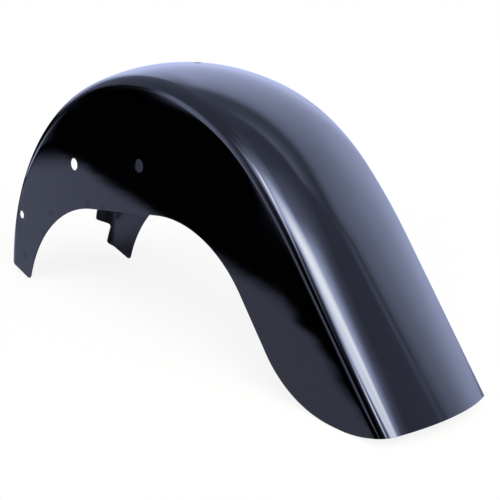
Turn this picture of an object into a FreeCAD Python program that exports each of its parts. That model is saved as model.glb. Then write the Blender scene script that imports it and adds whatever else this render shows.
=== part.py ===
"""Rear fender of a motorcycle, pressed from one steel sheet: domed crown, round shoulders and flat skirts.

Millimetres, X to the rear, Y to the right, Z up. The fender stands on the two front leg tips and
the belly of the tail.
"""
import FreeCAD, Part
import math
import os
from FreeCAD import Vector

# Sheet and cross-section
sheet = 1.5
width = 190.0
shoulder_r = 20.0
crown_cross_r = 244.0

# Crown along the wheel, radii on the outer centreline, angles from the rear horizontal
crown_r = 340.0
tail_start_deg = 47.0
tail_r = 768.0
tail_turn_deg = 7.6

# Side outline, measured from the centre of the crown arc
stand_drop = 10.8
leg_tip_x = -264.5
leg_tip_r = 7.0
leg_bottom_deg = 15.6
arch_front_x = -227.8
arch_front_z = 115.1
arch_straight = 2.5
arch_rear_x = 130.9
arch_rear_z = 170.3
arch_rear_r = 173.0
belly_front_x = 282.4
belly_front_r = 137.0
belly_rear_x = 377.0
belly_rear_r = 138.0
tail_cut_deg = 17.6

# Opening between the legs, insets from the skirt faces
slot_inset = 14.0
slot_top_z = 190.0
slot_corner_r = 30.0
leg_inset = 3.5
leg_flare_deg = 6.5
leg_toe_r = 4.0
tab_inset = 27.0
tab_top_z = 68.0
tab_top_r = 4.0
tab_z = 48.5
tab_deg = 22.0
tab_corner_r = 6.0

# Holes
strut_d = 17.0
strut_front_x = -149.2
strut_front_z = 188.3
strut_pitch = 148.3
strut_deg = 9.3
leg_hole_d = 12.0
leg_hole_deg = 163.3
leg_hole_margin = 0.8
seat_hole_d = 11.0
seat_hole_deg = 91.1

# Raw sheet before the outline is cut, as shares of the crown's size
skirt_share = 0.58
tail_share = 0.75
opening_share = 0.4
front_end_deg = 190.0

half = width / 2
cross_deg = math.degrees(math.acos((half - shoulder_r) / (crown_cross_r - shoulder_r)))
crown_centre_h = (shoulder_r - crown_cross_r) * math.sin(math.radians(cross_deg))
camber = crown_centre_h + crown_cross_r
flat_r = crown_r - camber
skirt_depth = skirt_share * flat_r
reach = 2 * crown_r
axis_y = Vector(0, 1, 0)
leg_half = half - leg_inset
slot_half = half - slot_inset
tab_half = half - tab_inset
tab_outer_z = tab_z - (leg_half - tab_half) * math.tan(math.radians(tab_deg))


def direction(degrees):
    """Unit vector in the side plane at an angle from the rear horizontal."""
    return Vector(math.cos(math.radians(degrees)), 0, math.sin(math.radians(degrees)))


def rounded(corners):
    """Closed wire through the corners (point, radius); a radius above zero makes a tangent arc there."""
    count = len(corners)
    ends = []
    for i, (point, radius) in enumerate(corners):
        back = corners[i - 1][0].sub(point).normalize()
        ahead = corners[(i + 1) % count][0].sub(point).normalize()
        if radius <= 0:
            ends.append((point, point, point))
            continue
        half_angle = back.getAngle(ahead) / 2
        run = radius / math.tan(half_angle)
        inward = back.add(ahead).normalize()
        middle = point.add(inward.multiply(radius / math.sin(half_angle) - radius))
        ends.append((point.add(back.multiply(run)), middle, point.add(ahead.multiply(run))))
    edges = []
    for i, (start, middle, end) in enumerate(ends):
        if start.distanceToPoint(end) > 1e-6:
            edges.append(Part.Arc(start, middle, end).toShape())
        following = ends[(i + 1) % count][0]
        if end.distanceToPoint(following) > 1e-6:
            edges.append(Part.makeLine(end, following))
    return Part.Wire(edges)


def section_edges(place, inset):
    """Skirt, shoulder, crown, shoulder, skirt as edges, set in by the inset.

    The function place maps (across, outward) to a point in space.
    """
    side = half - inset
    bend = shoulder_r - inset
    dome = crown_cross_r - inset
    turn = math.radians(cross_deg)
    hip = half - shoulder_r

    def on_bend(angle, sign):
        return place(sign * (hip + bend * math.cos(angle)), bend * math.sin(angle))

    top = place(0, crown_centre_h + dome)
    return [
        Part.makeLine(place(-side, -skirt_depth), place(-side, 0)),
        Part.Arc(on_bend(0, -1), on_bend(turn / 2, -1), on_bend(turn, -1)).toShape(),
        Part.Arc(on_bend(turn, -1), top, on_bend(turn, 1)).toShape(),
        Part.Arc(on_bend(turn, 1), on_bend(turn / 2, 1), on_bend(0, 1)).toShape(),
        Part.makeLine(place(side, 0), place(side, -skirt_depth)),
    ]


def section_face(base, outward):
    """Sheet section across the fender: base is the point where the flat skirts end, on the middle plane."""

    def place(across, out):
        return base.add(outward * out).add(axis_y * across)

    outer = section_edges(place, 0.0)
    inner = section_edges(place, sheet)
    edges = list(outer)
    edges.append(Part.makeLine(place(half, -skirt_depth), place(half - sheet, -skirt_depth)))
    edges.extend(reversed(inner))
    edges.append(Part.makeLine(place(sheet - half, -skirt_depth), place(-half, -skirt_depth)))
    return Part.Face(Part.Wire(Part.__sortEdges__(edges)))


def pressed_shell():
    """Sheet swept over the crown arc, then the flatter tail arc, then straight out past the tail cut."""
    tail_out = direction(tail_start_deg)
    start_face = section_face(tail_out * flat_r, tail_out)
    front = start_face.copy().revolve(Vector(0, 0, 0), axis_y, -(front_end_deg - tail_start_deg))
    tail_axis = tail_out * (crown_r - tail_r)
    bend = start_face.copy().revolve(tail_axis, axis_y, tail_turn_deg)
    end_deg = tail_start_deg - tail_turn_deg
    end_out = direction(end_deg)
    end_face = section_face(tail_axis.add(end_out * (tail_r - camber)), end_out)
    straight = end_face.extrude(direction(end_deg - 90) * (tail_share * crown_r))
    return front.fuse([bend, straight]).removeSplitter()


def side_outline():
    """Solid of what the side outline keeps: leg, wheel arch, belly and tail cut, through the width."""
    floor = -stand_drop
    tip = Vector(leg_tip_x, 0, floor)
    arch_front = Vector(arch_front_x, 0, arch_front_z)
    arch_rear = Vector(arch_rear_x, 0, arch_rear_z)
    belly_front = Vector(belly_front_x, 0, floor)
    belly_rear = Vector(belly_rear_x, 0, floor)
    leg_far = Vector(-reach, 0, leg_bottom_z(-reach))
    tail_far = Vector(reach, 0, floor + (reach - belly_rear_x) * math.tan(math.radians(tail_cut_deg)))
    leg_edge = arch_front.sub(tip)
    tip_half = leg_far.sub(tip).getAngle(leg_edge) / 2
    arch_turn = leg_edge.getAngle(arch_rear.sub(arch_front))
    arch_run = leg_edge.Length - leg_tip_r / math.tan(tip_half) - arch_straight
    arch_front_r = arch_run / math.tan(arch_turn / 2)
    wire = rounded([
        (leg_far, 0),
        (tip, leg_tip_r),
        (arch_front, arch_front_r),
        (arch_rear, arch_rear_r),
        (belly_front, belly_front_r),
        (belly_rear, belly_rear_r),
        (tail_far, 0),
        (Vector(reach, 0, reach), 0),
        (Vector(-reach, 0, reach), 0),
    ])
    return Part.Face(wire).extrude(axis_y * (2 * width)).translated(axis_y * -width)


def leg_edge_y(z):
    """Distance of a leg's inner edge from the middle plane: the legs widen inward from the tabs down."""
    return leg_half - (tab_outer_z - z) * math.tan(math.radians(leg_flare_deg))


def leg_bottom_z(x):
    """Height of the sloping cut under the legs."""
    return -stand_drop + (leg_tip_x - x) * math.tan(math.radians(leg_bottom_deg))


def leg_opening():
    """Solid cut from the front between the legs: widest at the legs, narrowest between the tabs."""
    below = -(stand_drop + width)
    sides = [
        (slot_half, slot_top_z, slot_corner_r),
        (slot_half, tab_top_z, tab_top_r),
        (tab_half, tab_top_z, tab_top_r),
        (tab_half, tab_z, tab_corner_r),
        (leg_half, tab_outer_z, tab_corner_r),
        (leg_edge_y(below), below, 0),
    ]
    corners = [(Vector(-reach, -y, z), radius) for y, z, radius in reversed(sides)]
    corners += [(Vector(-reach, y, z), radius) for y, z, radius in sides]
    return Part.Face(rounded(corners)).extrude(Vector(reach - opening_share * crown_r, 0, 0))


def toe_roundings():
    """Solids cut from the lower inner corner of each leg to round it, drawn along the corner's line."""

    def corner(x):
        z = leg_bottom_z(x)
        return Vector(x, leg_edge_y(z), z)

    start = corner(-reach)
    run = corner(leg_tip_x).sub(start)
    flare = math.radians(leg_flare_deg)
    up = Vector(0, math.sin(flare), math.cos(flare))
    half_angle = up.getAngle(axis_y) / 2
    inward = up.add(axis_y).normalize()
    length = leg_toe_r / math.tan(half_angle)
    upper = start.add(up * length)
    lower = start.add(axis_y * length)
    middle = start.add(inward * (leg_toe_r / math.sin(half_angle) - leg_toe_r))
    outside = start.sub(inward * leg_toe_r)
    wire = Part.Wire([
        Part.Arc(upper, middle, lower).toShape(),
        Part.makeLine(lower, outside),
        Part.makeLine(outside, upper),
    ])
    right = Part.Face(wire).extrude(run)
    return [right, right.mirror(Vector(0, 0, 0), axis_y)]


def drilled():
    """Cylinders of all holes: strut and leg holes through both skirts, a seat hole in the crown."""
    strut_step = direction(strut_deg) * strut_pitch
    strut_front = Vector(strut_front_x, -width, strut_front_z)
    leg_hole = direction(leg_hole_deg) * (flat_r - leg_hole_margin - leg_hole_d / 2)
    leg_hole.y = -width
    seat = direction(seat_hole_deg)
    return [
        Part.makeCylinder(strut_d / 2, 2 * width, strut_front, axis_y),
        Part.makeCylinder(strut_d / 2, 2 * width, strut_front.add(strut_step), axis_y),
        Part.makeCylinder(leg_hole_d / 2, 2 * width, leg_hole, axis_y),
        Part.makeCylinder(seat_hole_d / 2, 2 * camber, seat * (crown_r - camber), seat),
    ]


fender = pressed_shell().common(side_outline())
fender = fender.cut(leg_opening())
fender = fender.cut(toe_roundings())
fender = fender.cut(drilled())
solid = max(fender.Solids, key=lambda piece: piece.Volume)
box = solid.optimalBoundingBox(False, False)
solid.translate(Vector(-box.Center.x, -box.Center.y, -box.ZMin))
os.makedirs("parts", exist_ok=True)
solid.exportStep("parts/fender_shell.step")
print("solids", len(fender.Solids), "valid", solid.isValid(), "volume cm3", round(solid.Volume / 1000, 1))
print("moved by", [round(v, 3) for v in (-box.Center.x, -box.Center.y, -box.ZMin)])
print("box", round(box.XLength, 2), round(box.YLength, 2), round(box.ZLength, 2), "faces", len(solid.Faces))
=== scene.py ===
"""Looks of a motorcycle rear fender: one pressed steel sheet in gloss black, in a light tent.

Metres, X to the tail, Y to the right, Z up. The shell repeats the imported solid's formulas as a fine
smooth surface.
"""
import logging
import math
from dataclasses import dataclass
from enum import Enum

import bpy
import numpy as np
from mathutils import Matrix, Vector


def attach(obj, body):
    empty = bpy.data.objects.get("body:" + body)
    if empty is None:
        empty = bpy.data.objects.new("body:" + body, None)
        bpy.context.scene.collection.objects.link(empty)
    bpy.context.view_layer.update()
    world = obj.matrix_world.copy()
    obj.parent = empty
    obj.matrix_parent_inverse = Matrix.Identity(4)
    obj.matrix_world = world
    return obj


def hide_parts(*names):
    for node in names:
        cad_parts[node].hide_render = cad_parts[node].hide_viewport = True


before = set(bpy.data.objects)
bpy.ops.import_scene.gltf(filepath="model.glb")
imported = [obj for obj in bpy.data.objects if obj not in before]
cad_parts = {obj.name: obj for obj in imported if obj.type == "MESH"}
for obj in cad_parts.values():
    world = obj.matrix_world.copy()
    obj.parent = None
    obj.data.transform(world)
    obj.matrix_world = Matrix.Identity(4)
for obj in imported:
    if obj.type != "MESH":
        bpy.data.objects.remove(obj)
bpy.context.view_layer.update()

log = logging.getLogger("fender")

Array = np.ndarray
Pair = tuple[float, float]
Triple = tuple[float, float, float]
Colour = tuple[float, float, float, float]
Socket = bpy.types.NodeSocket
NodeInput = Socket | float | tuple

QUARTER_TURN = math.pi / 2
WELDS_PER_METRE = 1e6
SEAM_SLACK = 1e-9
WHITE: Colour = (1.0, 1.0, 1.0, 1.0)


def unit(vector: Array) -> Array:
    """The plane vector at length one."""
    return vector / np.hypot(*vector)


def stretch(start: Array | float, end: Array | float, rows: int) -> Array:
    """Rows of values in even steps from a start to an end, which have one value per column."""
    return start + np.linspace(0, 1, rows + 1)[:, None] * (end - start)


def both_sides(columns: Array) -> Array:
    """Columns of a half section with their mirror image before them, and the middle one once."""
    return np.hstack([columns[:, :0:-1] * [[-1.0], [1.0]], columns])


def grid_quads(index: Array) -> Array:
    """Corner indices of a grid's cells, row by row, from the numbers of its points."""
    corners = (index[:-1, :-1], index[1:, :-1], index[1:, 1:], index[:-1, 1:])
    return np.stack([corner.ravel() for corner in corners], axis=1)


def add_mesh(name: str, points: Array, faces: Array) -> bpy.types.Object:
    """Makes a mesh object and links it to the scene.

    Args:
        name: name of the object and of its mesh.
        points: points, shape (count, 3).
        faces: corner indices, shape (count, 4).

    Returns:
        The new object.
    """
    mesh = bpy.data.meshes.new(name)
    mesh.from_pydata(points, [], faces)
    shape = bpy.data.objects.new(name, mesh)
    bpy.context.scene.collection.objects.link(shape)
    return shape


class SheetFace(Enum):
    """Face of the sheet, as the share of its thickness that the face is set in."""

    OUTER = 0.0
    INNER = 1.0


@dataclass(frozen=True)
class Hole:
    """Round hole in the sheet, with the window of grid cells round it that rings fill.

    The window counts the rows and columns on each side of the hole's centre.
    """

    centre: Pair
    radius: float
    window: tuple[int, int]
    rings: int

    def pierce(self, plan: Array, kept: Array) -> Array:
        """Opens the window in a grid and fills it with rings that end on the hole's circle.

        Args:
            plan: grid of plane points, shape (rows, columns, 2).
            kept: cells of that grid that stay, changed in place.

        Returns:
            Closed grid of plane points, shape (rings + 1, points round, 2).
        """
        rows, columns = plan.shape[:2]
        centre = np.array(self.centre)
        nearest = int(np.argmin(((plan - centre) ** 2).sum(-1)))
        row, column = divmod(nearest, columns)
        high, wide = self.window
        r0, r1 = max(row - high, 0), min(row + high, rows - 1)
        c0, c1 = max(column - wide, 0), min(column + wide, columns - 1)
        kept[r0:r1, c0:c1] = False
        loop = np.concatenate([plan[r0:r1, c0], plan[r1, c0:c1], plan[r1:r0:-1, c1],
                               plan[r0, c1:c0:-1], plan[r0:r0 + 1, c0]])
        spoke = loop - centre
        distance = np.hypot(*spoke.T)[:, None]
        if distance.min() <= self.radius:
            raise ValueError(f"hole at {self.centre} does not fit its window")
        circle = centre + spoke / distance * self.radius
        step = np.linspace(0, 1, self.rings + 1)[:, None, None]
        return (1 - step) * loop + step * circle


@dataclass
class Patch:
    """Grid of quads on the sheet, with its outer and inner points and the cells that are kept, or all."""

    outer: Array
    inner: Array
    kept: Array | None = None

    def mirrored(self) -> "Patch":
        """The same patch on the other side of the middle plane."""
        flip = np.array([1.0, -1.0, 1.0])
        return Patch(self.outer * flip, self.inner * flip, self.kept)

    def quads(self) -> Array:
        """Corner indices of the kept cells, turned to face from the inner to the outer points.

        Returns:
            Array of shape (cells, 4).
        """
        rows, columns = self.outer.shape[:2]
        cells = grid_quads(np.arange(rows * columns).reshape(rows, columns))
        if self.kept is not None:
            cells = cells[self.kept.ravel()]
        corners = self.outer.reshape(-1, 3)[cells]
        facing = np.cross(corners[:, 2] - corners[:, 0], corners[:, 3] - corners[:, 1])
        away = (self.outer - self.inner).reshape(-1, 3)[cells[:, 0]]
        if (facing * away).sum() < 0:
            cells = cells[:, ::-1]
        return cells


def closed_sheet(patches: list[Patch]) -> tuple[Array, Array]:
    """Welds patches where they meet, and closes the sheet with its inner face and its edge.

    Args:
        patches: patches whose points meet along their borders.

    Returns:
        Points, those of the outer face and then as many of the inner one, and quads.
    """
    sizes = [patch.outer.shape[0] * patch.outer.shape[1] for patch in patches]
    starts = np.concatenate([[0], np.cumsum(sizes)[:-1]])
    quads = np.concatenate([patch.quads() + start for patch, start in zip(patches, starts)])
    outer = np.concatenate([patch.outer.reshape(-1, 3) for patch in patches])
    inner = np.concatenate([patch.inner.reshape(-1, 3) for patch in patches])
    used = np.unique(quads)
    keys = np.round(outer[used] * WELDS_PER_METRE).astype(np.int64)
    _, first, weld = np.unique(keys, axis=0, return_index=True, return_inverse=True)
    index = np.full(len(outer), -1)
    index[used] = weld.ravel()
    quads = index[quads]
    outer = outer[used][first]
    inner = inner[used][first]
    count = len(outer)
    edges = np.stack([quads, np.roll(quads, -1, axis=1)], axis=-1).reshape(-1, 2)
    _, where, uses = np.unique(np.sort(edges, axis=1), axis=0, return_inverse=True, return_counts=True)
    start, end = edges[uses[where.ravel()] == 1].T
    wall = np.stack([end, start, start + count, end + count], axis=1)
    return np.concatenate([outer, inner]), np.concatenate([quads, quads[:, ::-1] + count, wall])


@dataclass
class FenderShell:
    """Pressed sheet shell: domed crown, round shoulders, flat skirts, forked legs, straight tail, holes.

    Sizes are measured from the crown arc's centre, and its place moves them to the standing frame. A
    run is a distance along the path, the line where the flat skirts end: it is zero where the tail's
    bend starts, and positive to the front. Columns of the section are distances across from the middle
    plane and distances out from the path. An inset is a face's depth below the sheet's outside.
    """

    # Sheet and cross-section
    sheet: float = 0.0015
    half_width: float = 0.095
    shoulder_r: float = 0.020
    dome_r: float = 0.244
    edge_round: float = 0.0003

    # Crown along the wheel, angles from the rear horizontal
    crown_r: float = 0.340
    tail_start: float = math.radians(47.0)
    tail_r: float = 0.768
    tail_turn: float = math.radians(7.6)

    # Side outline
    stand_drop: float = 0.0108
    leg_tip_x: float = -0.2645
    leg_tip_r: float = 0.007
    leg_slope: float = math.tan(math.radians(15.6))
    arch_front: Pair = (-0.2278, 0.1151)
    arch_straight: float = 0.0025
    arch_rear: Pair = (0.1309, 0.1703)
    arch_rear_r: float = 0.173
    belly_front_x: float = 0.2824
    belly_front_r: float = 0.137
    belly_rear_x: float = 0.377
    belly_rear_r: float = 0.138
    tail_slope: float = math.tan(math.radians(17.6))

    # Opening between the legs, half widths from the middle plane
    slot_half: float = 0.081
    slot_top: float = 0.190
    slot_corner: float = 0.030
    leg_half: float = 0.0915
    leg_flare: float = math.radians(6.5)
    leg_toe_r: float = 0.004
    tab_half: float = 0.068
    tab_top: float = 0.068
    tab_top_r: float = 0.004
    tab_z: float = 0.0485
    tab_tilt: float = math.radians(22.0)
    tab_corner: float = 0.006

    # Holes
    strut_r: float = 0.0085
    strut_front: Pair = (-0.1492, 0.1883)
    strut_pitch: float = 0.1483
    strut_rise: float = math.radians(9.3)
    leg_hole_r: float = 0.006
    leg_hole_at: float = math.radians(163.3)
    leg_hole_margin: float = 0.0008
    seat_hole_r: float = 0.0055
    seat_hole_at: float = math.radians(91.1)

    # Crown arc's centre in the standing frame
    centre_x: float = -0.055755

    # Fineness: rows along the fender, columns across it, windows and rings of the holes
    slot_rows_at: float = math.radians(143.0)
    main_rows: int = 300
    slot_rows: int = 16
    strip_rows: int = 30
    tab_rows: int = 12
    knuckle_rows: int = 2
    leg_rows: int = 12
    toe_rows: int = 6
    toe_rounds: int = 12
    slot_columns: int = 8
    corner_columns: int = 10
    strip_columns: int = 4
    fillet_columns: int = 4
    tab_columns: int = 3
    tab_round_columns: int = 6
    shoulder_columns: int = 10
    skirt_columns: int = 18
    arc_points: int = 160
    strut_window: tuple[int, int] = (6, 3)
    leg_window: tuple[int, int] = (4, 3)
    seat_window: tuple[int, int] = (4, 2)
    rings: int = 3
    leg_rings: int = 2
    sharp_angle: float = math.radians(50.0)
    bevel_angle: float = math.radians(60.0)
    bevel_segments: int = 2

    def __post_init__(self) -> None:
        """Works out the sizes that follow from the driving ones."""
        self.place = np.array([self.centre_x, 0.0, self.stand_drop])
        self.hip = self.half_width - self.shoulder_r
        self.bend_angle = math.acos(self.hip / (self.dome_r - self.shoulder_r))
        self.dome_centre = (self.shoulder_r - self.dome_r) * math.sin(self.bend_angle)
        self.camber = self.dome_centre + self.dome_r
        self.flat_r = self.crown_r - self.camber
        self.bend_r = self.tail_r - self.camber
        self.bend_run = self.bend_r * self.tail_turn
        self.tail_end = self.tail_start - self.tail_turn
        offset = self.crown_r - self.tail_r
        self.bend_centre = (offset * math.cos(self.tail_start), offset * math.sin(self.tail_start))
        self.slot_start = (self.slot_rows_at - self.tail_start) * self.flat_r
        self.tab_outer_z = self.tab_z - (self.leg_half - self.tab_half) * math.tan(self.tab_tilt)
        to_tab = np.array([-math.cos(self.tab_tilt), math.sin(self.tab_tilt)])
        to_toe = np.array([-math.sin(self.leg_flare), -math.cos(self.leg_flare)])
        half_sine = math.sqrt((1.0 - float(to_tab @ to_toe)) / 2.0)
        corner = np.array([self.leg_half, self.tab_outer_z])
        self.tab_centre = corner + unit(to_tab + to_toe) * (self.tab_corner / half_sine)

    def carry(self, run: Array, across: Array | float, out: Array | float) -> Array:
        """Points of the section carried along the crown arc, the flatter bend and the straight tail.

        Args:
            run: distance along the path.
            across: distance from the middle plane.
            out: distance outward from the path.

        Returns:
            Points in the standing frame, with a last axis of three.
        """
        run, across, out = np.broadcast_arrays(run, across, out)
        crown = run >= 0
        turned = np.where(crown, run / self.flat_r, np.maximum(run, -self.bend_run) / self.bend_r)
        angle = self.tail_start + turned
        radius = np.where(crown, self.flat_r, self.bend_r) + out
        straight = np.maximum(-run - self.bend_run, 0.0)
        centre_x, centre_z = (np.where(crown, 0.0, part) for part in self.bend_centre)
        x = centre_x + radius * np.cos(angle) + straight * math.sin(self.tail_end)
        z = centre_z + radius * np.sin(angle) - straight * math.cos(self.tail_end)
        return np.stack([x, across, z], axis=-1) + self.place

    def rise(self, across: Array, inset: float) -> Array:
        """Distance of the section out from the path: dome arc, then shoulder arc.

        Args:
            across: distances from the middle plane.
            inset: depth of the face.

        Returns:
            Distances out.
        """
        across = np.abs(across)
        bend = self.shoulder_r - inset
        dome = self.dome_r - inset
        on_dome = self.dome_centre + np.sqrt(dome * dome - np.minimum(across, self.half_width) ** 2)
        on_bend = np.sqrt(np.maximum(bend * bend - np.maximum(across - self.hip, 0.0) ** 2, 0.0))
        return np.where(across < self.hip + bend * math.cos(self.bend_angle), on_dome, on_bend)

    def section_columns(self, inset: float) -> tuple[Array, Array, Array, Array]:
        """Columns of the half section, from the middle outward.

        Args:
            inset: depth of the face.

        Returns:
            Columns over the slot, of the strip beside it, of the leg's shoulder and of the tab.
        """
        flat = self.slot_half - self.slot_corner
        corner = np.sin(np.linspace(0, QUARTER_TURN, self.corner_columns + 1))[1:]
        slot = np.concatenate([np.linspace(0, flat, self.slot_columns + 1),
                               flat + self.slot_corner * corner])
        tilts = np.linspace(self.tab_tilt, QUARTER_TURN, self.fillet_columns + 1)
        fillet = self.tab_centre[0] + self.tab_corner * np.sin(tilts)
        beside = np.linspace(self.slot_half, fillet[0], self.strip_columns + 1)[:-1]
        strip = np.concatenate([beside, fillet])
        swing = np.linspace(0, QUARTER_TURN, self.tab_round_columns + 1)
        tip = self.tab_half + self.tab_top_r * (1.0 - np.cos(swing))
        root = self.slot_half - self.tab_top_r * (1.0 - np.sin(swing))
        tab = np.concatenate([tip, np.linspace(tip[-1], root[0], self.tab_columns + 1)[1:-1], root])
        bend = self.shoulder_r - inset
        angle = np.linspace(math.acos((fillet[-1] - self.hip) / bend), 0.0, self.shoulder_columns + 1)
        shoulder = np.stack([self.hip + bend * np.cos(angle), bend * np.sin(angle)])
        slot, strip, tab = (np.stack([across, self.rise(across, inset)]) for across in (slot, strip, tab))
        return slot, strip, shoulder, tab

    def tail_run(self, out: Array) -> Array:
        """Runs at which the straight tail meets the tail cut, a line that rises to the rear.

        Args:
            out: distances out from the path.

        Returns:
            Runs.
        """
        x = self.bend_centre[0] + (self.bend_r + out) * math.cos(self.tail_end)
        z = self.bend_centre[1] + (self.bend_r + out) * math.sin(self.tail_end)
        over = z + self.stand_drop - (x - self.belly_rear_x) * self.tail_slope
        return -self.bend_run - over / (math.cos(self.tail_end) + self.tail_slope * math.sin(self.tail_end))

    def front_run(self, height: Array, out: Array) -> Array:
        """Runs at which the front of the crown arc comes down to a height."""
        return (math.pi - np.arcsin(height / (self.flat_r + out)) - self.tail_start) * self.flat_r

    def leg_bottom(self, x: Array | float) -> Array | float:
        """Height of the sloping cut under the legs."""
        return -self.stand_drop + (self.leg_tip_x - x) * self.leg_slope

    def leg_run(self, out: Array) -> Array:
        """Runs at which the front of the crown arc meets the sloping bottom of the leg.

        Args:
            out: distances out from the path.

        Returns:
            Runs.
        """
        tilt = math.atan(self.leg_slope)
        level = self.leg_bottom(0.0) * math.cos(tilt)
        angle = math.pi - np.arcsin(level / (self.flat_r + out)) - tilt
        return (angle - self.tail_start) * self.flat_r

    def slot_height(self, across: Array) -> Array:
        """Height of the slot's upper edge: level, then a quarter round down to its side."""
        over = np.clip(np.abs(across) - (self.slot_half - self.slot_corner), 0.0, self.slot_corner)
        return self.slot_top - self.slot_corner + np.sqrt(self.slot_corner ** 2 - over ** 2)

    def tab_height(self, across: Array) -> Array:
        """Height of the tab's lower edge: a sloping line with both ends rounded.

        Args:
            across: distances from the middle plane.

        Returns:
            Heights.
        """
        r = self.tab_corner
        slope = math.tan(self.tab_tilt)
        reach = r * math.sin(self.tab_tilt)
        line = self.tab_z - (across - self.tab_half) * slope
        inner_y = self.tab_half + r
        inner_z = self.tab_z - r * slope + r / math.cos(self.tab_tilt)
        inner = inner_z - np.sqrt(np.maximum(r * r - (across - inner_y) ** 2, 0.0))
        outer_y, outer_z = self.tab_centre
        outer = outer_z + np.sqrt(np.maximum(r * r - (across - outer_y) ** 2, 0.0))
        at_inner = across < inner_y - reach + SEAM_SLACK
        at_outer = across > outer_y + reach - SEAM_SLACK
        return np.where(at_inner, inner, np.where(at_outer, outer, line))

    def tab_top_height(self, across: Array) -> Array:
        """Height of the tab's upper edge: level, rounded at its inner corner and into the slot's side.

        Args:
            across: distances from the middle plane.

        Returns:
            Heights.
        """
        r = self.tab_top_r
        corner = np.clip(self.tab_half + r - across, 0.0, r)
        root = np.clip(across - self.slot_half + r, 0.0, r)
        return self.tab_top + np.sqrt(r * r - corner ** 2) - np.sqrt(r * r - root ** 2)

    def leg_edge(self, inset: float) -> tuple[Array, Array]:
        """Inner edge of the leg: the tab corner's arc, the flared edge and the toe's arc.

        Args:
            inset: depth of the face.

        Returns:
            Distances from the middle plane, and heights.
        """
        flare = math.tan(self.leg_flare)
        swing = np.linspace(0.0, -self.leg_flare, self.knuckle_rows + 1)
        knuckle_y = self.tab_centre[0] + self.tab_corner * np.cos(swing)
        knuckle_z = self.tab_centre[1] + self.tab_corner * np.sin(swing)
        toe_length = self.leg_toe_r / math.tan((QUARTER_TURN - self.leg_flare) / 2)
        turn = np.linspace(math.pi - self.leg_flare, 3 * QUARTER_TURN, self.toe_rows + 1)
        x = np.full(turn.shape, self.leg_tip_x)
        for _ in range(self.toe_rounds):
            low = self.leg_bottom(x)
            side = self.leg_half - (self.tab_outer_z - low) * flare
            toe_y = side + toe_length + self.leg_toe_r * np.cos(turn)
            toe_z = low + self.leg_toe_r * (1.0 + np.sin(turn))
            x = -np.sqrt((self.flat_r + self.rise(toe_y, inset)) ** 2 - toe_z ** 2)
        share = np.linspace(0, 1, self.leg_rows + 1)[1:-1]
        edge_z = knuckle_z[-1] + share * (toe_z[0] - knuckle_z[-1])
        edge_y = self.leg_half - (self.tab_outer_z - edge_z) * flare
        return np.concatenate([knuckle_y, edge_y, toe_y]), np.concatenate([knuckle_z, edge_z, toe_z])

    def leg_grid(self, inset: float) -> tuple[Array, Array, Array]:
        """Grid of the leg's shoulder, in rows from the tab down to the bottom cut.

        Args:
            inset: depth of the face.

        Returns:
            Runs, distances across and distances out, each of shape (rows, columns).
        """
        bend = self.shoulder_r - inset
        across, height = self.leg_edge(inset)
        angle = np.arccos((across - self.hip) / bend)[:, None] * np.linspace(1, 0, self.shoulder_columns + 1)
        out = bend * np.sin(angle)
        edge = self.front_run(height, out[:, 0])
        foot = self.leg_run(out[-1])
        length = np.concatenate([[0.0], np.cumsum(np.hypot(np.diff(across), np.diff(height)))])
        skirt = edge[0] + length / length[-1] * (foot[-1] - edge[0])
        run = stretch(edge, skirt, self.shoulder_columns).T
        run[-1] = foot
        return run, self.hip + bend * np.cos(angle), out

    def outline(self, start: Array, end: Array) -> tuple[Array, Array, float, float]:
        """Lower outline of the skirt from the tail corner to the leg bottom, as lines and tangent arcs.

        Args:
            start: tail corner on the flat skirt's upper line, in the side plane.
            end: front corner on that line.

        Returns:
            Points, distances along them, and the distances where the belly's and the leg tip's rounding end.
        """
        floor = -self.stand_drop
        tip = np.array([self.leg_tip_x, floor])
        front = np.array(self.arch_front)
        rear = np.array(self.arch_rear)
        leg = tip - front
        bottom = unit(np.array([-1.0, self.leg_slope]))
        tip_half = math.acos(float(bottom @ unit(-leg))) / 2
        arch_turn = math.acos(float(unit(front - rear) @ unit(leg)))
        arch_run = float(np.hypot(*leg)) - self.leg_tip_r / math.tan(tip_half) - self.arch_straight
        corners = [
            (np.array([self.belly_rear_x, floor]), self.belly_rear_r),
            (np.array([self.belly_front_x, floor]), self.belly_front_r),
            (rear, self.arch_rear_r),
            (front, arch_run / math.tan(arch_turn / 2)),
            (tip, self.leg_tip_r),
        ]
        knots = [start, *[corner for corner, _ in corners], end]
        pieces = [start[None]]
        for k, (corner, radius) in enumerate(corners):
            before = unit(knots[k] - corner)
            after = unit(knots[k + 2] - corner)
            half = math.acos(float(before @ after)) / 2
            inward = unit(before + after)
            side = unit(after - before)
            centre = corner + inward * (radius / math.sin(half))
            sweep = np.linspace(-1, 1, self.arc_points) * (QUARTER_TURN - half)
            pieces.append(centre + radius * (np.outer(np.sin(sweep), side) - np.outer(np.cos(sweep), inward)))
        points = np.concatenate([*pieces, end[None]])
        along = np.concatenate([[0.0], np.cumsum(np.hypot(*np.diff(points, axis=0).T))])
        return points, along, along[self.arc_points], along[-2]

    def skirt_plan(self, runs: Array) -> Array:
        """Grid over the flat skirt in the side plane, a Coons patch between its four edges.

        Args:
            runs: runs of the skirt's rows, from the tail to the leg bottom.

        Returns:
            Array of shape (rows, columns, 2).
        """
        top = (self.carry(runs, 0.0, 0.0) - self.place)[:, ::2]
        points, along, belly, tip = self.outline(top[0], top[-1])

        def at(distance: Array) -> Array:
            """Points of the outline at distances along it."""
            return np.stack([np.interp(distance, along, axis) for axis in points.T], axis=-1)

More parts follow.
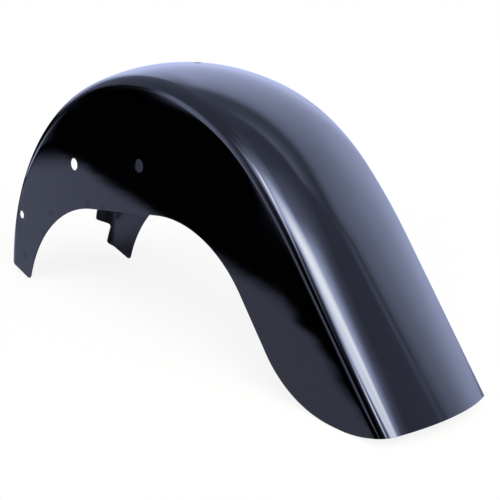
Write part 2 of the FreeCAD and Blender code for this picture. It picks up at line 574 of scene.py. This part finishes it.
        row = (runs - runs[0]) / (runs[-1] - runs[0])
        column = np.linspace(0, 1, self.skirt_columns + 1)
        bottom = at(belly + row * (tip - belly))
        tail = at(column * belly)
        front = at(along[-1] - column * (along[-1] - tip))
        share = row[:, None, None]
        depth = column[None, :, None]
        ruled = (1 - depth) * top[:, None] + depth * bottom[:, None]
        ends = (1 - share) * tail + share * front
        tail_line = (1 - depth) * top[0] + depth * bottom[0]
        front_line = (1 - depth) * top[-1] + depth * bottom[-1]
        return ruled + ends - (1 - share) * tail_line - share * front_line

    def seat_grid(self, runs: Array, across: Array, inset: float) -> tuple[Array, Array]:
        """Opens the seat hole in the crown's grid, laid flat at the length of its outside.

        Args:
            runs: runs of the crown's grid.
            across: distances of its columns from the middle plane.
            inset: depth of the face.

        Returns:
            Points of the hole's rings, and the cells of the crown that are kept.
        """
        scale = self.crown_r / self.flat_r
        plan = np.stack([runs * scale, np.broadcast_to(across, runs.shape)], axis=-1)
        kept = np.ones((runs.shape[0] - 1, runs.shape[1] - 1), bool)
        centre = ((self.seat_hole_at - self.tail_start) * self.crown_r, 0.0)
        hole = Hole(centre, self.seat_hole_r, self.seat_window, self.rings)
        along, across = np.moveaxis(hole.pierce(plan, kept), -1, 0)
        return self.carry(along / scale, across, self.rise(across, inset)), kept

    def face_grids(self, face: SheetFace) -> tuple[dict[str, Array], Array, Array]:
        """Grids of one face of the sheet above the flat skirts, in the middle and on the right side.

        Args:
            face: face of the sheet.

        Returns:
            Grids by name, cells of the crown that are kept, and runs of the skirt's rows.
        """
        inset = face.value * self.sheet
        slot, strip, shoulder, tab = self.section_columns(inset)
        full = both_sides(np.hstack([slot, strip[:, 1:], shoulder[:, 1:]]))
        crown_runs = stretch(self.tail_run(full[1]), self.slot_start, self.main_rows)
        seat, kept = self.seat_grid(crown_runs, full[0], inset)
        front = both_sides(slot)
        slot_edge = self.front_run(self.slot_height(front[0]), front[1])
        tab_top = self.front_run(self.tab_top_height(tab[0]), tab[1])
        tab_low = self.front_run(self.tab_height(tab[0]), tab[1])
        strip_low = self.front_run(self.tab_height(strip[0]), strip[1])
        side = np.hstack([strip, shoulder[:, 1:]])
        low = np.concatenate([strip_low, np.full(self.shoulder_columns, strip_low[-1])])
        level = np.ones(len(low))
        side_runs = np.concatenate([
            stretch(self.slot_start * level, slot_edge[-1] * level, self.slot_rows),
            stretch(slot_edge[-1] * level, tab_top[-1] * level, self.strip_rows)[1:],
            stretch(tab_top[-1] * level, low, self.tab_rows)[1:],
        ])
        leg = self.leg_grid(inset)
        grids = {
            "crown": self.carry(crown_runs, *full),
            "seat": seat,
            "slot": self.carry(stretch(self.slot_start, slot_edge, self.slot_rows), *front),
            "strip": self.carry(side_runs, *side),
            "shoulder": self.carry(*leg),
            "tab": self.carry(stretch(tab_top, tab_low, self.tab_rows), *tab),
        }
        return grids, kept, np.concatenate([crown_runs[:, -1], side_runs[1:, -1], leg[0][1:, -1]])

    def skirt_holes(self) -> list[Hole]:
        """Holes of a skirt in the side plane.

        Returns:
            Front strut hole, rear strut hole and leg hole.
        """
        x, z = self.strut_front
        step_x = self.strut_pitch * math.cos(self.strut_rise)
        step_z = self.strut_pitch * math.sin(self.strut_rise)
        leg_radius = self.flat_r - self.leg_hole_margin - self.leg_hole_r
        leg = (leg_radius * math.cos(self.leg_hole_at), leg_radius * math.sin(self.leg_hole_at))
        return [
            Hole((x, z), self.strut_r, self.strut_window, self.rings),
            Hole((x + step_x, z + step_z), self.strut_r, self.strut_window, self.rings),
            Hole(leg, self.leg_hole_r, self.leg_window, self.leg_rings),
        ]

    def skirt_patches(self, runs: Array) -> list[Patch]:
        """Patches of both flat skirts, with the rings of their holes.

        Args:
            runs: runs of the skirt's rows, from the tail to the leg bottom.

        Returns:
            The right skirt's patches, then the left one's.
        """
        plan = self.skirt_plan(runs)
        kept = np.ones((plan.shape[0] - 1, plan.shape[1] - 1), bool)
        plans = [plan, *[hole.pierce(plan, kept) for hole in self.skirt_holes()]]
        sides = [self.half_width - face.value * self.sheet for face in SheetFace]
        right = [Patch(*[np.insert(grid, 1, y, axis=-1) + self.place for y in sides]) for grid in plans]
        right[0].kept = kept
        return right + [patch.mirrored() for patch in right]

    def build(self) -> bpy.types.Object:
        """Makes the shell's object, with rounded sheet edges and the underside marked by an attribute.

        Returns:
            The shell as one closed mesh object.
        """
        (outer, kept, runs), (inner, _, _) = (self.face_grids(face) for face in SheetFace)
        patches = {name: Patch(outer[name], inner[name]) for name in outer}
        patches["crown"].kept = kept
        left = [patches[name].mirrored() for name in ("strip", "shoulder", "tab")]
        points, faces = closed_sheet([*patches.values(), *left, *self.skirt_patches(runs)])
        shell = add_mesh("fender_shell_fine", points, faces)
        mesh = shell.data
        mesh.validate()
        mesh.shade_smooth()
        mesh.set_sharp_from_angle(angle=self.sharp_angle)
        underside = mesh.attributes.new("underside", "FLOAT", "POINT")
        underside.data.foreach_set("value", np.repeat([0.0, 1.0], len(points) // 2).astype(np.float32))
        bevel = shell.modifiers.new("sheet_edge", "BEVEL")
        bevel.width = self.edge_round
        bevel.segments = self.bevel_segments
        bevel.limit_method = "ANGLE"
        bevel.angle_limit = self.bevel_angle
        bevel.use_clamp_overlap = False
        bevel.harden_normals = True
        log.info("shell: %d points, %d faces", len(points), len(faces))
        return shell


class NodeBoard:
    """Node tree with short calls for adding and joining nodes."""

    def __init__(self, tree: bpy.types.NodeTree) -> None:
        """Takes the tree and empties it."""
        self.tree = tree
        tree.nodes.clear()

    def add(self, kind: str, inputs: dict[str | int, NodeInput] | None = None,
            **settings: object) -> bpy.types.Node:
        """Adds a node.

        Args:
            kind: node type's identifier.
            inputs: values or sockets by input name or number.
            settings: node properties.

        Returns:
            The new node.
        """
        node = self.tree.nodes.new(kind)
        for name, value in settings.items():
            setattr(node, name, value)
        for name, value in (inputs or {}).items():
            if isinstance(value, Socket):
                self.tree.links.new(value, node.inputs[name])
            else:
                node.inputs[name].default_value = value
        return node

    def math(self, operation: str, first: NodeInput, second: NodeInput = 0.0) -> Socket:
        """Result of a Math node on two values or sockets."""
        return self.add("ShaderNodeMath", {0: first, 1: second}, operation=operation).outputs[0]

    def ramp(self, value: NodeInput, low: float, high: float, start: float = 0.0,
             end: float = 1.0) -> Socket:
        """Smooth step of a value, put out as start up to low and as end from high on."""
        inputs = {0: value, 1: low, 2: high, 3: start, 4: end}
        return self.add("ShaderNodeMapRange", inputs, interpolation_type="SMOOTHSTEP").outputs[0]

    def vector(self, operation: str, first: NodeInput, second: NodeInput = (0.0, 0.0, 0.0)) -> bpy.types.Node:
        """Vector Math node on two vectors."""
        return self.add("ShaderNodeVectorMath", {0: first, 1: second}, operation=operation)

    def dot(self, first: NodeInput, second: NodeInput) -> Socket:
        """Dot product of two vectors."""
        return self.vector("DOT_PRODUCT", first, second).outputs["Value"]

    def noise(self, where: NodeInput, scale: float, detail: float) -> Socket:
        """Noise at a place, about 0.5 on average."""
        return self.add("ShaderNodeTexNoise", {"Vector": where, "Scale": scale, "Detail": detail}).outputs[0]

    def mix(self, factor: NodeInput, first: NodeInput, second: NodeInput) -> Socket:
        """Colour mixed from the first to the second by a factor."""
        inputs = {"Factor": factor, "A": first, "B": second}
        return self.add("ShaderNodeMix", inputs, data_type="RGBA").outputs["Result"]


@dataclass(frozen=True)
class GlossBlackPaint:
    """Gloss black paint on pressed steel: near-black, with orange peel on a slightly wavy sheet.

    Handling leaves a haze and small marks, each given by its place and size. The underside is duller.
    """

    colour: Colour = (0.0004, 0.0004, 0.0005, 1.0)
    roughness: float = 0.045
    ior: float = 1.5
    haze_colour: Colour = (0.0014, 0.0014, 0.0017, 1.0)
    haze_roughness: float = 0.11
    haze_scale: float = 9.0
    haze_from: Pair = (0.52, 0.78)
    peel_size: float = 0.006
    peel_height: float = 0.000004
    wave_size: float = 0.075
    wave_height: float = 0.00012
    underside_roughness: float = 0.30
    mark_roughness: float = 0.48
    mark_scale: float = 160.0
    mark_reach: float = 1.6
    mark_core: float = 1.1
    mark_softness: float = 0.3
    marks: tuple[tuple[Triple, float], ...] = (
        ((-0.281, -0.095, 0.084), 0.006),
        ((-0.262, -0.095, 0.117), 0.008),
        ((-0.135, -0.095, 0.153), 0.007),
        ((-0.170, -0.095, 0.149), 0.008),
        ((-0.334, -0.095, 0.034), 0.009),
    )

    def blotches(self, board: NodeBoard, where: Socket) -> NodeInput:
        """Strength of the small handling marks: soft spots with ragged edges.

        Args:
            board: board of the material.
            where: place on the part.

        Returns:
            Strength from 0 to 1.
        """
        ragged = board.noise(where, self.mark_scale, detail=3.0)
        strength: NodeInput = 0.0
        for centre, size in self.marks:
            away = board.vector("DISTANCE", where, centre).outputs["Value"]
            core = board.ramp(away, 0.0, self.mark_reach * size, self.mark_core, 0.0)
            spot = board.ramp(board.math("SUBTRACT", core, ragged), 0.0, self.mark_softness)
            strength = board.math("MAXIMUM", strength, spot)
        return strength

    def build(self) -> bpy.types.Material:
        """Makes the paint's material.

        Returns:
            The material.
        """
        material = bpy.data.materials.new("gloss_black_paint")
        material.use_nodes = True
        board = NodeBoard(material.node_tree)
        where = board.add("ShaderNodeTexCoord").outputs["Object"]
        cloud = board.add("ShaderNodeTexNoise", {
            "Vector": where, "Scale": self.haze_scale, "Detail": 4.0, "Roughness": 0.6})
        haze = board.ramp(cloud.outputs[0], *self.haze_from)
        wave = board.add("ShaderNodeBump", {
            "Height": board.noise(where, 1.0 / self.wave_size, detail=0.0),
            "Distance": self.wave_height, "Strength": 1.0})
        peel = board.add("ShaderNodeBump", {
            "Height": board.noise(where, 1.0 / self.peel_size, detail=1.0),
            "Distance": self.peel_height, "Strength": 1.0, "Normal": wave.outputs[0]})
        rough = board.ramp(haze, 0.0, 1.0, self.roughness, self.haze_roughness)
        marked = board.ramp(self.blotches(board, where), 0.0, 1.0, 0.0, self.mark_roughness)
        under = board.add("ShaderNodeAttribute", attribute_name="underside").outputs["Fac"]
        dull = board.ramp(under, 0.0, 1.0, 0.0, self.underside_roughness)
        paint = board.add("ShaderNodeBsdfPrincipled", {
            "Base Color": board.mix(haze, self.colour, self.haze_colour),
            "Roughness": board.math("MAXIMUM", rough, board.math("MAXIMUM", marked, dull)),
            "Normal": peel.outputs[0], "IOR": self.ior})
        board.add("ShaderNodeOutputMaterial", {"Surface": paint.outputs[0]})
        return material


def heading(azimuth: float, elevation: float = 0.0) -> Triple:
    """Unit vector of a direction, given in degrees from +X towards +Y and above the level."""
    turn, tilt = math.radians(azimuth), math.radians(elevation)
    return math.cos(tilt) * math.cos(turn), math.cos(tilt) * math.sin(turn), math.sin(tilt)


def panel_group() -> bpy.types.NodeTree:
    """Node group for a soft-edged rectangle seen along a direction, made once.

    Returns:
        The group, whose mask fades out where a direction turns side-on to the rectangle.
    """
    group = bpy.data.node_groups.get("soft_panel")
    if group is not None:
        return group
    group = bpy.data.node_groups.new("soft_panel", "ShaderNodeTree")
    for name in ("Direction", "Forward", "Sideways", "Up"):
        group.interface.new_socket(name, in_out="INPUT", socket_type="NodeSocketVector")
    for name in ("Left", "Right", "Low", "High"):
        group.interface.new_socket(name, in_out="INPUT", socket_type="NodeSocketFloat")
        group.interface.new_socket(name + " Soft", in_out="INPUT", socket_type="NodeSocketFloat")
    group.interface.new_socket("Mask", in_out="OUTPUT", socket_type="NodeSocketFloat")
    board = NodeBoard(group)
    given = board.add("NodeGroupInput").outputs
    side_on, in_front = 0.02, 0.08
    ahead = board.math("MAXIMUM", board.dot(given["Direction"], given["Forward"]), side_on)
    mask = board.ramp(ahead, side_on, in_front)
    for axis, low, high in (("Sideways", "Left", "Right"), ("Up", "Low", "High")):
        place = board.math("DIVIDE", board.dot(given["Direction"], given[axis]), ahead)
        for edge, sign in ((low, 1.0), (high, -1.0)):
            inside = board.math("MULTIPLY", board.math("SUBTRACT", place, given[edge]), sign)
            over = board.math("DIVIDE", inside, given[edge + " Soft"])
            mask = board.math("MULTIPLY", mask, board.ramp(over, -1.0, 1.0))
    board.add("NodeGroupOutput", {"Mask": mask})
    return group


@dataclass(frozen=True)
class SoftPanel:
    """Flat panel far from the object: its direction, its edges and its light.

    An edge is a pair of its place and its softness, sideways or upward over the panel's distance. A light
    below zero takes light from the tent.
    """

    azimuth: float
    elevation: float
    left: Pair
    right: Pair
    low: Pair
    high: Pair
    light: float = 0.0

    def mask(self, board: NodeBoard, ray: Socket) -> Socket:
        """Mask of the panel for a direction.

        Args:
            board: board of the material.
            ray: direction from the object.

        Returns:
            One inside the panel, zero outside.
        """
        forward = heading(self.azimuth, self.elevation)
        sideways = heading(self.azimuth + 90.0)
        up = tuple(Vector(forward).cross(Vector(sideways)))
        inputs = {"Direction": ray, "Forward": forward, "Sideways": sideways, "Up": up}
        edges = {"Left": self.left, "Right": self.right, "Low": self.low, "High": self.high}
        for name, (place, soft) in edges.items():
            inputs[name] = place
            inputs[name + " Soft"] = soft
        return board.add("ShaderNodeGroup", inputs, node_tree=panel_group()).outputs["Mask"]


# The panels' places, softness and light started from a least-squares fit to the light mirrored in the
# photograph, as did the tent's wall and glow and the floor's lit part. Some were then set one by one.
KEY = SoftPanel(-26.0, 46.0, (-0.55, 0.38), (0.50, 0.12), (-0.27, 0.03), (0.16, 0.20), 13.2)
HALO = SoftPanel(-26.0, 46.0, (-1.02, 0.20), (0.44, 0.31), (-0.07, 0.10), (0.32, 0.46), 6.0)
BAR = SoftPanel(-26.0, 46.0, (-0.73, 0.19), (-0.56, 0.14), (-0.40, 0.03), (-0.37, 0.15), 41.0)
FILL = SoftPanel(-26.0, 46.0, (-0.96, 0.16), (-0.04, 0.04), (-0.44, 0.02), (-0.15, 0.62), 2.0)
STRIP = SoftPanel(-89.0, 26.0, (0.10, 0.45), (0.10, 0.07), (-0.03, 0.15), (0.26, 0.06), 24.3)
STRIP_FOOT = SoftPanel(-88.0, 13.0, (-0.02, 0.02), (0.07, 0.04), (0.08, 0.23), (0.60, 0.06), 5.2)
BACK_WALL = SoftPanel(102.0, 0.0, (-1.21, 0.23), (12.0, 0.06), (-1.0, 0.06), (1.51, 0.49), 0.73)
HEADER = SoftPanel(102.0, 0.0, (-1.44, 0.18), (0.04, 0.80), (2.62, 0.80), (2.86, 0.23), 1.67)
BAND = SoftPanel(102.0, 0.0, (-1.36, 0.09), (1.03, 0.13), (0.90, 0.66), (1.70, 0.20), 0.65)
SIDE_BAR = SoftPanel(102.0, 0.0, (-1.58, 0.17), (-1.60, 0.25), (0.80, 0.69), (1.82, 0.38), 2.0)
MIDDLE = SoftPanel(76.0, 25.0, (-0.20, 0.16), (0.38, 0.24), (-0.38, 0.16), (0.25, 0.19), 0.61)
SHADE = SoftPanel(174.0, 0.0, (-0.24, 0.10), (0.30, 0.10), (-1.0, 0.30), (0.15, 0.08), -1.3)
WALL_FOOT = SoftPanel(137.0, 0.0, (-0.38, 0.12), (0.45, 0.12), (-1.0, 0.30), (0.22, 0.10), -0.35)
WINDOW = SoftPanel(-135.0, 0.0, (-0.05, 0.07), (-0.04, 0.67), (-0.07, 0.02), (0.33, 0.14), 4.2)
LOW_BAND = SoftPanel(-113.0, -6.5, (-0.34, 0.03), (0.68, 0.03), (0.07, 0.23), (0.05, 0.07), 5.5)
FRONT_BAND = SoftPanel(-178.0, -7.0, (-0.05, 0.10), (0.48, 0.10), (-0.19, 0.12), (0.04, 0.09), 3.0)
NEAR_OPENING = SoftPanel(-90.0, 0.0, (-0.47, 0.35), (0.93, 0.08), (-1.0, 0.10), (0.29, 0.17))
FRONT_OPENING = SoftPanel(-158.0, 0.0, (-0.20, 0.32), (0.43, 0.30), (-1.0, 0.08), (0.26, 0.07))


@dataclass
class LightTent:
    """Light tent round the object, hidden from the camera: pale wall, panels and two dark openings.

    The wall ends at its foot, and a glow lies over the key panel. Reflections see the tent in full, and
    matt surfaces get diffuse_share of its light. Pairs are where a change begins and ends: heights and
    closeness to the key as cosines, lamp levels as light.
    """

    radius: float = 7.0
    turns: int = 64
    tilts: int = 32
    top_tilt: float = 1.55
    tint: Colour = (0.88, 1.0, 1.52, 1.0)
    lamp_tint: Colour = (0.95, 1.0, 1.12, 1.0)
    lamp_levels: Pair = (5.0, 18.0)
    wall: float = 0.55
    wall_foot: Pair = (-0.03, 0.03)
    glow: float = 0.49
    glow_reach: Pair = (0.63, 0.81)
    glow_height: Pair = (0.89, 1.05)
    diffuse_share: float = 0.49
    openings: tuple[SoftPanel, ...] = (NEAR_OPENING, FRONT_OPENING)
    lamps: tuple[SoftPanel, ...] = (
        KEY, HALO, BAR, FILL, STRIP, STRIP_FOOT, BACK_WALL, HEADER, BAND, SIDE_BAR, MIDDLE, SHADE,
        WALL_FOOT, WINDOW, LOW_BAND, FRONT_BAND)

    def light(self, board: NodeBoard) -> Socket:
        """Light of the tent by direction: wall and glow, less the openings, plus the panels.

        Args:
            board: board of the tent's material.

        Returns:
            Light, never below zero.
        """
        where = board.add("ShaderNodeTexCoord").outputs["Object"]
        ray = board.vector("NORMALIZE", where).outputs[0]
        height = board.dot(ray, (0.0, 0.0, 1.0))
        toward_key = board.dot(ray, heading(KEY.azimuth, KEY.elevation))
        near_key = board.ramp(toward_key, *self.glow_reach, 0.0, self.glow)
        light = board.math("MULTIPLY", board.ramp(height, *self.glow_height), near_key)
        light = board.math("ADD", light, self.wall)
        light = board.math("MULTIPLY", light, board.ramp(height, *self.wall_foot))
        for panel in self.openings:
            shut = board.math("SUBTRACT", 1.0, panel.mask(board, ray))
            light = board.math("MULTIPLY", light, shut)
        for panel in self.lamps:
            lamp = board.math("MULTIPLY", panel.mask(board, ray), panel.light)
            light = board.math("ADD", light, lamp)
        return board.math("MAXIMUM", light, 0.0)

    def material(self) -> bpy.types.Material:
        """Material of the tent, whose lamps are whiter than its wall.

        Returns:
            The material.
        """
        material = bpy.data.materials.new("tent_light")
        material.use_nodes = True
        board = NodeBoard(material.node_tree)
        light = self.light(board)
        tint = board.mix(board.ramp(light, *self.lamp_levels), self.tint, self.lamp_tint)
        path = board.add("ShaderNodeLightPath").outputs
        loss = board.math("MULTIPLY", path["Is Diffuse Ray"], 1.0 - self.diffuse_share)
        light = board.math("MULTIPLY", light, board.math("SUBTRACT", 1.0, loss))
        glow = board.add("ShaderNodeEmission", {"Color": tint, "Strength": light})
        board.add("ShaderNodeOutputMaterial", {"Surface": glow.outputs[0]})
        material.cycles.emission_sampling = "NONE"
        return material

    def build(self) -> bpy.types.Object:
        """Makes the tent's sphere, hidden from the camera.

        Returns:
            The tent's object.
        """
        turn, tilt = np.meshgrid(np.linspace(0, 2 * math.pi, self.turns, endpoint=False),
                                 np.linspace(-self.top_tilt, self.top_tilt, self.tilts + 1), indexing="ij")
        level = np.cos(tilt)
        points = self.radius * np.stack([level * np.cos(turn), level * np.sin(turn), np.sin(tilt)], axis=-1)
        index = np.arange(turn.size).reshape(turn.shape)
        ring = np.concatenate([index, index[:1]])
        tent = add_mesh("light_tent", points.reshape(-1, 3), grid_quads(ring.T))
        tent.data.shade_smooth()
        tent.data.materials.append(self.material())
        tent.visible_camera = False
        tent.visible_shadow = False
        log.info("tent: radius %.1f m", self.radius)
        return tent


@dataclass
class StudioFloor:
    """Pale floor that keeps a soft shadow. It ends past the near side and in front of the object.

    The camera sees it white, all white from the second distance of white_from on. Reflections see a
    cool painted pool of light up to lit_ends, a painted shadow under the object and painted shade in the
    corner of ahead_shade: each entry of lit_ends and ahead_shade is an azimuth with the distances where the
    change begins and ends.
    """

    reach: float = 6.5
    cells: int = 8
    drop: float = 0.0002
    near_azimuth: float = -72.0
    near_end: float = 0.34
    front_end: float = 1.5
    colour: Colour = (0.95, 0.83, 0.60, 1.0)
    glow: float = 0.86
    white_from: Pair = (0.55, 1.10)
    # Painted light and shade that reflections see on the floor: a cool pool of light with its lit ends,
    # painted shade ahead and a painted shadow under the object.
    mirrored: Triple = (0.92, 1.0, 1.48)
    lit_level: float = 0.685
    lit_ends: tuple[Triple, ...] = ((-72.3, 0.293, 0.347), (-57.3, 0.269, 0.292), (-164.0, 1.08, 1.42))
    ahead_shade: tuple[Triple, ...] = ((90.0, -0.28, -0.12), (-150.0, 0.55, 0.72))
    uneven_size: float = 0.14
    uneven_middle: float = 0.5
    uneven_reach: float = 0.05
    painted_shadow_half: Pair = (0.47, 0.095)
    painted_shadow_from: Pair = (0.75, 1.10)
    painted_shadow_level: float = 0.12

    def mirrored_light(self, board: NodeBoard, where: Socket) -> Socket:
        """Level at which reflections see the floor: a painted pool of light, with a painted shadow under the
        object and painted shade ahead of it.

        Args:
            board: board of the floor's material.
            where: place on the floor.

        Returns:
            Painted light of the floor.
        """
        # Painted shadow under the object: the floor's light drops inside the object's footprint.
        half_x, half_y = self.painted_shadow_half
        along = board.math("ABSOLUTE", board.dot(where, (1.0 / half_x, 0.0, 0.0)))
        across = board.math("ABSOLUTE", board.dot(where, (0.0, 1.0 / half_y, 0.0)))
        lit = board.ramp(board.math("MAXIMUM", along, across), *self.painted_shadow_from, self.painted_shadow_level, 1.0)
        # Painted pool of light: it ends at lit_ends, with an uneven edge.
        cloud = board.noise(where, 1.0 / self.uneven_size, detail=2.0)
        uneven = board.math("SUBTRACT", cloud, self.uneven_middle)
        uneven = board.math("MULTIPLY", uneven, self.uneven_reach)
        for azimuth, full, gone in self.lit_ends:
            toward = board.math("ADD", board.dot(where, heading(azimuth)), uneven)
            lit = board.math("MULTIPLY", lit, board.ramp(toward, full, gone, 1.0, 0.0))
        # Painted shade in the corner ahead of the object.
        shade: NodeInput = self.lit_level
        for azimuth, start, full in self.ahead_shade:
            toward = board.dot(where, heading(azimuth))
            shade = board.math("MULTIPLY", shade, board.ramp(toward, start, full))
        return board.math("MULTIPLY", lit, board.math("SUBTRACT", self.lit_level, shade))

    def material(self) -> bpy.types.Material:
        """Material of the floor: white to the camera with a faint shadow, cool painted light and shade in
        reflections.

        Returns:
            The material.
        """
        material = bpy.data.materials.new("pale_floor")
        material.use_nodes = True
        board = NodeBoard(material.node_tree)
        path = board.add("ShaderNodeLightPath").outputs
        where = board.add("ShaderNodeTexCoord").outputs["Object"]
        cool = board.add("ShaderNodeVectorMath", {
            0: self.mirrored, "Scale": self.mirrored_light(board, where)}, operation="SCALE")
        colour = board.mix(path["Is Camera Ray"], cool.outputs[0], WHITE)
        white = board.add("ShaderNodeEmission", {"Color": colour, "Strength": 1.0})
        matt = board.add("ShaderNodeBsdfDiffuse", {"Color": self.colour})
        through = board.math("MAXIMUM", path["Is Glossy Ray"], path["Is Transmission Ray"])
        seen = board.math("MAXIMUM", path["Is Camera Ray"], through)
        away = board.vector("LENGTH", where).outputs["Value"]
        share = board.ramp(away, *self.white_from, self.glow, 1.0)
        share = board.math("MULTIPLY", seen, board.math("MAXIMUM", path["Is Glossy Ray"], share))
        floor = board.add("ShaderNodeMixShader", {0: share, 1: matt.outputs[0], 2: white.outputs[0]})
        board.add("ShaderNodeOutputMaterial", {"Surface": floor.outputs[0]})
        material.cycles.emission_sampling = "NONE"
        return material

    def build(self) -> bpy.types.Object:
        """Makes the floor's grid along its two ends, just under the standing points.

        Returns:
            The floor's object.
        """
        near = np.array(heading(self.near_azimuth))
        ahead = np.array(heading(self.near_azimuth - 90.0))
        u, v = np.meshgrid(np.linspace(-self.reach, self.near_end, self.cells + 1),
                           np.linspace(-self.reach, self.front_end, self.cells + 1), indexing="ij")
        points = u[..., None] * near + v[..., None] * ahead - np.array([0.0, 0.0, self.drop])
        index = np.arange(u.size).reshape(u.shape)
        floor = add_mesh("studio_floor", points.reshape(-1, 3), grid_quads(index))
        floor.data.materials.append(self.material())
        log.info("floor: ends %.2f m past the near side, %.2f m in front", self.near_end, self.front_end)
        return floor


@dataclass(frozen=True)
class Viewpoint:
    """Camera of the photograph: place, axes, and lens and sensor in millimetres."""

    place: Triple = (0.873695, -0.81646, 0.45693)
    right: Triple = (0.69271, 0.71879, 0.05902)
    up: Triple = (-0.23829, 0.15087, 0.95940)
    back: Triple = (0.68071, -0.67866, 0.27579)
    lens: float = 67.41
    sensor: float = 36.0
    clip: Pair = (0.01, 100.0)

    def build(self) -> bpy.types.Object:
        """Makes the camera and sets it as the scene's.

        Returns:
            The camera's object.
        """
        data = bpy.data.cameras.new("photo_view")
        data.lens = self.lens
        data.sensor_width = self.sensor
        data.clip_start, data.clip_end = self.clip
        camera = bpy.data.objects.new("photo_view", data)
        bpy.context.scene.collection.objects.link(camera)
        turn = Matrix((self.right, self.up, self.back)).transposed().to_4x4()
        camera.matrix_world = Matrix.Translation(self.place) @ turn
        bpy.context.scene.camera = camera
        return camera


def white_world() -> None:
    """Plain white surroundings of strength 1."""
    world = bpy.data.worlds.new("white_surroundings")
    world.use_nodes = True
    board = NodeBoard(world.node_tree)
    white = board.add("ShaderNodeBackground", {"Color": WHITE, "Strength": 1.0})
    board.add("ShaderNodeOutputWorld", {"Surface": white.outputs[0]})
    bpy.context.scene.world = world


def main() -> None:
    """Builds the shell, its paint, the studio and the camera."""
    logging.basicConfig(level=logging.INFO, format="%(name)s: %(message)s")
    bpy.context.scene.view_settings.view_transform = "Standard"
    Viewpoint().build()
    shell = FenderShell().build()
    shell.data.materials.append(GlossBlackPaint().build())
    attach(shell, "root")
    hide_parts("fender_shell")
    LightTent().build()
    StudioFloor().build()
    white_world()
    bpy.context.view_layer.update()


if __name__ == "__main__":
    main()
